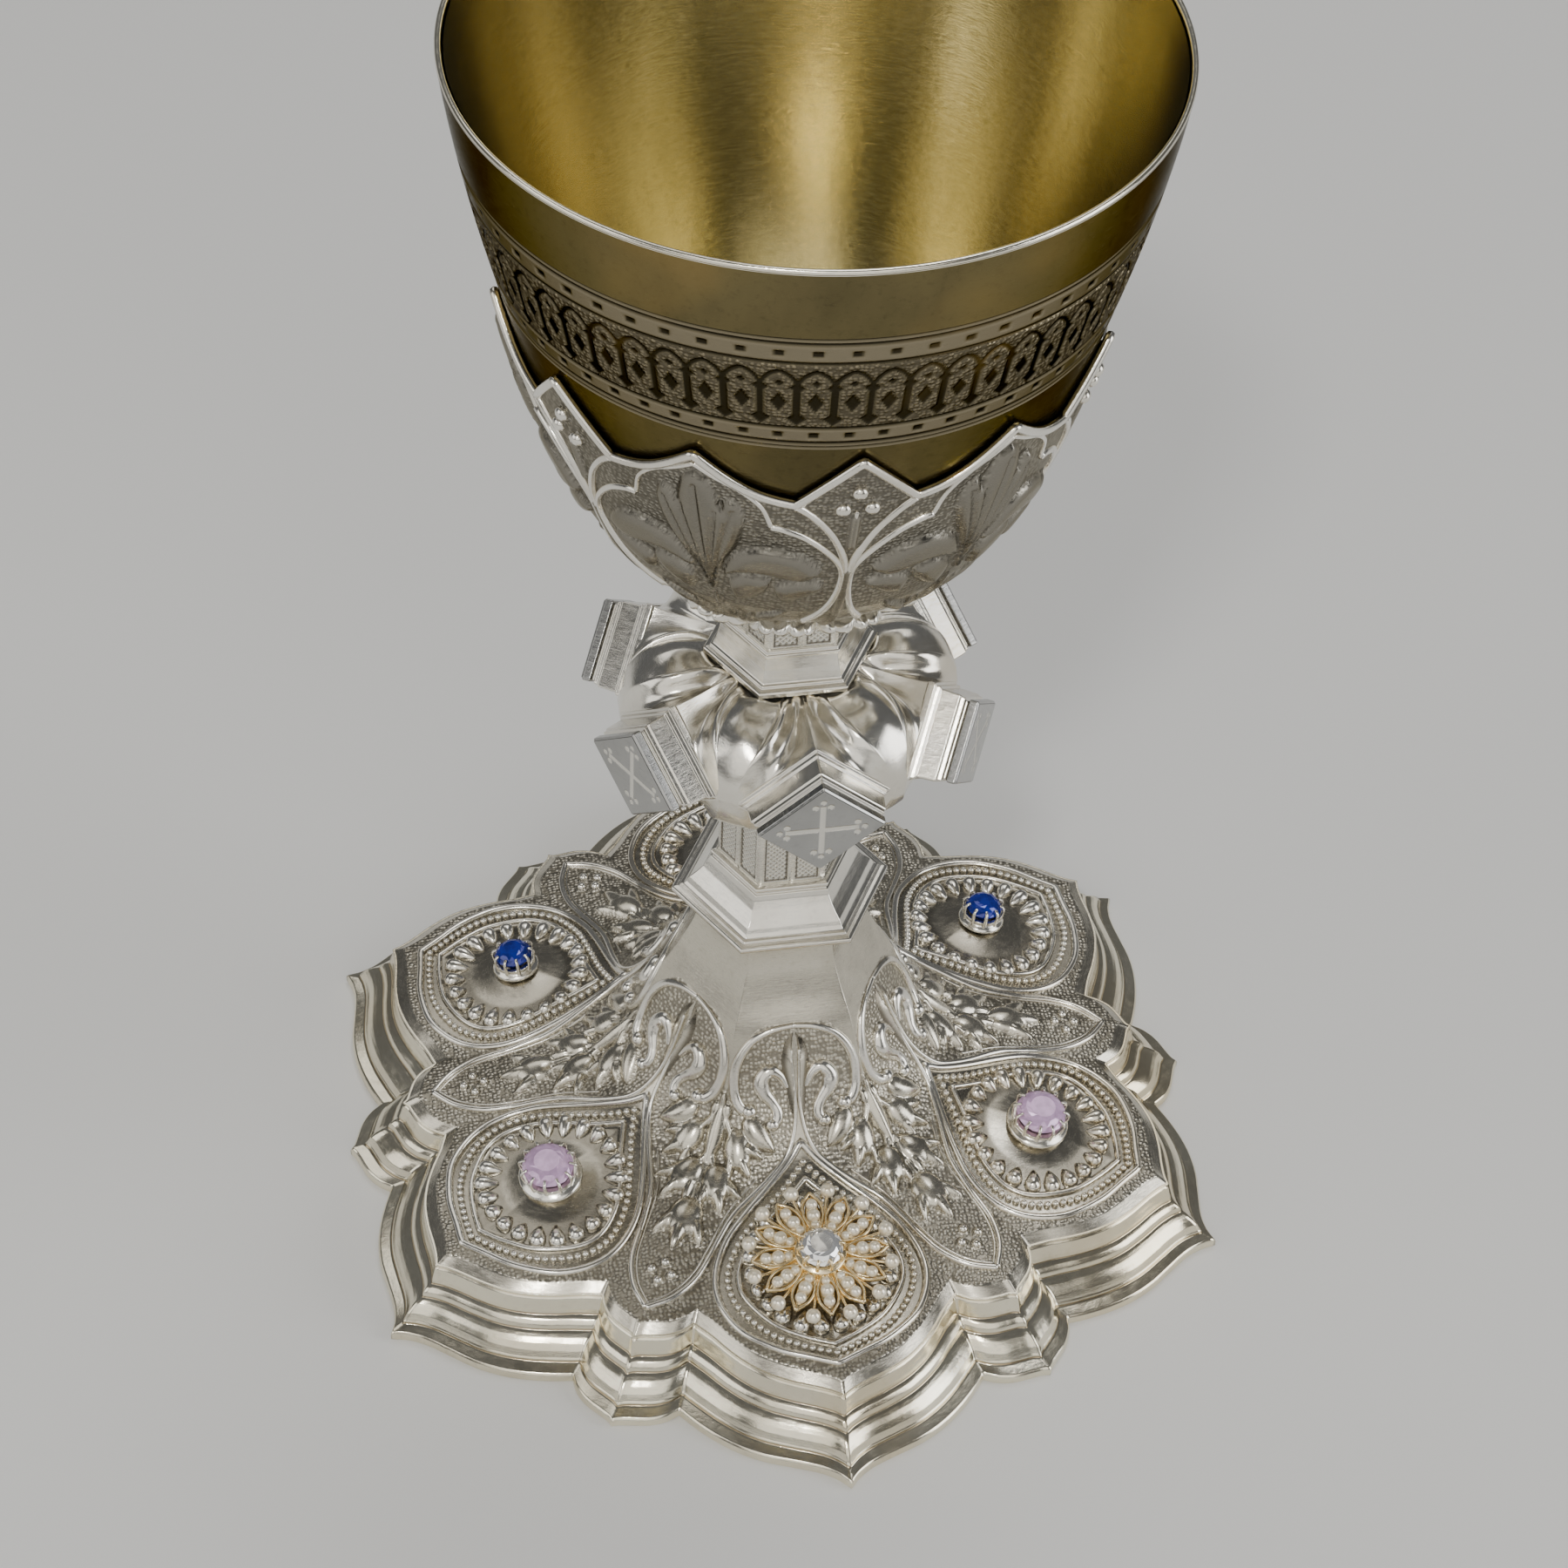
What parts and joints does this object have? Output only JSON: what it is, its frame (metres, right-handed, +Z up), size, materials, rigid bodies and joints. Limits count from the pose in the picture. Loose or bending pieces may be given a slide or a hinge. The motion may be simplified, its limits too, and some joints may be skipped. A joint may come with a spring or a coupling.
{
  "type": "communion chalice",
  "caption": "Tall stemmed silver cup with a gilt bowl, a knop of lozenge bosses and a broad lobed foot set with stones and a star brooch.",
  "frame": {"origin": "centre of the object's outline on the plane the foot stands on, on the vertical axis of the cup", "axes": "+Z up along the stem, -Y towards the front lobe that carries the star brooch, +X to its right seen from the front"},
  "size_m": [0.1444, 0.16, 0.2208],
  "materials": {
    "silver": "embossed and stippled silver, toned darker in the hollows, satin on the high parts",
    "polished_silver": "polished silver",
    "gilt": "worn silver gilt, olive brown, bright at the lip",
    "gold": "polished yellow gold",
    "diamond": "clear cut stone",
    "amethyst": "pale violet cut stone",
    "sapphire": "deep blue cut stone",
    "steel": "plain dull metal, out of sight inside"
  },
  "bodies": {
    "root": {"foot_rim": "silver", "foot_top": "silver", "lower_collar": "silver", "lower_stem": "silver", "knop_collar_lower": "silver", "knop_collar_upper": "silver", "upper_stem": "silver", "calyx": "silver", "dished_washer": "silver", "collet_1": "silver", "collet_2": "silver", "collet_3": "silver", "collet_4": "silver", "collet_5": "silver", "knop_body": "polished_silver", "boss_plate_1": "polished_silver", "boss_plate_2": "polished_silver", "boss_plate_3": "polished_silver", "boss_plate_4": "polished_silver", "boss_plate_5": "polished_silver", "boss_plate_6": "polished_silver", "cup": "gilt", "brooch_star": "gold", "brooch_diamond": "diamond", "stone_1": "amethyst", "stone_3": "amethyst", "stone_5": "amethyst", "stone_2": "sapphire", "stone_4": "sapphire", "tie_rod": "steel", "rod_nut": "steel"}
  },
  "joints": []
}
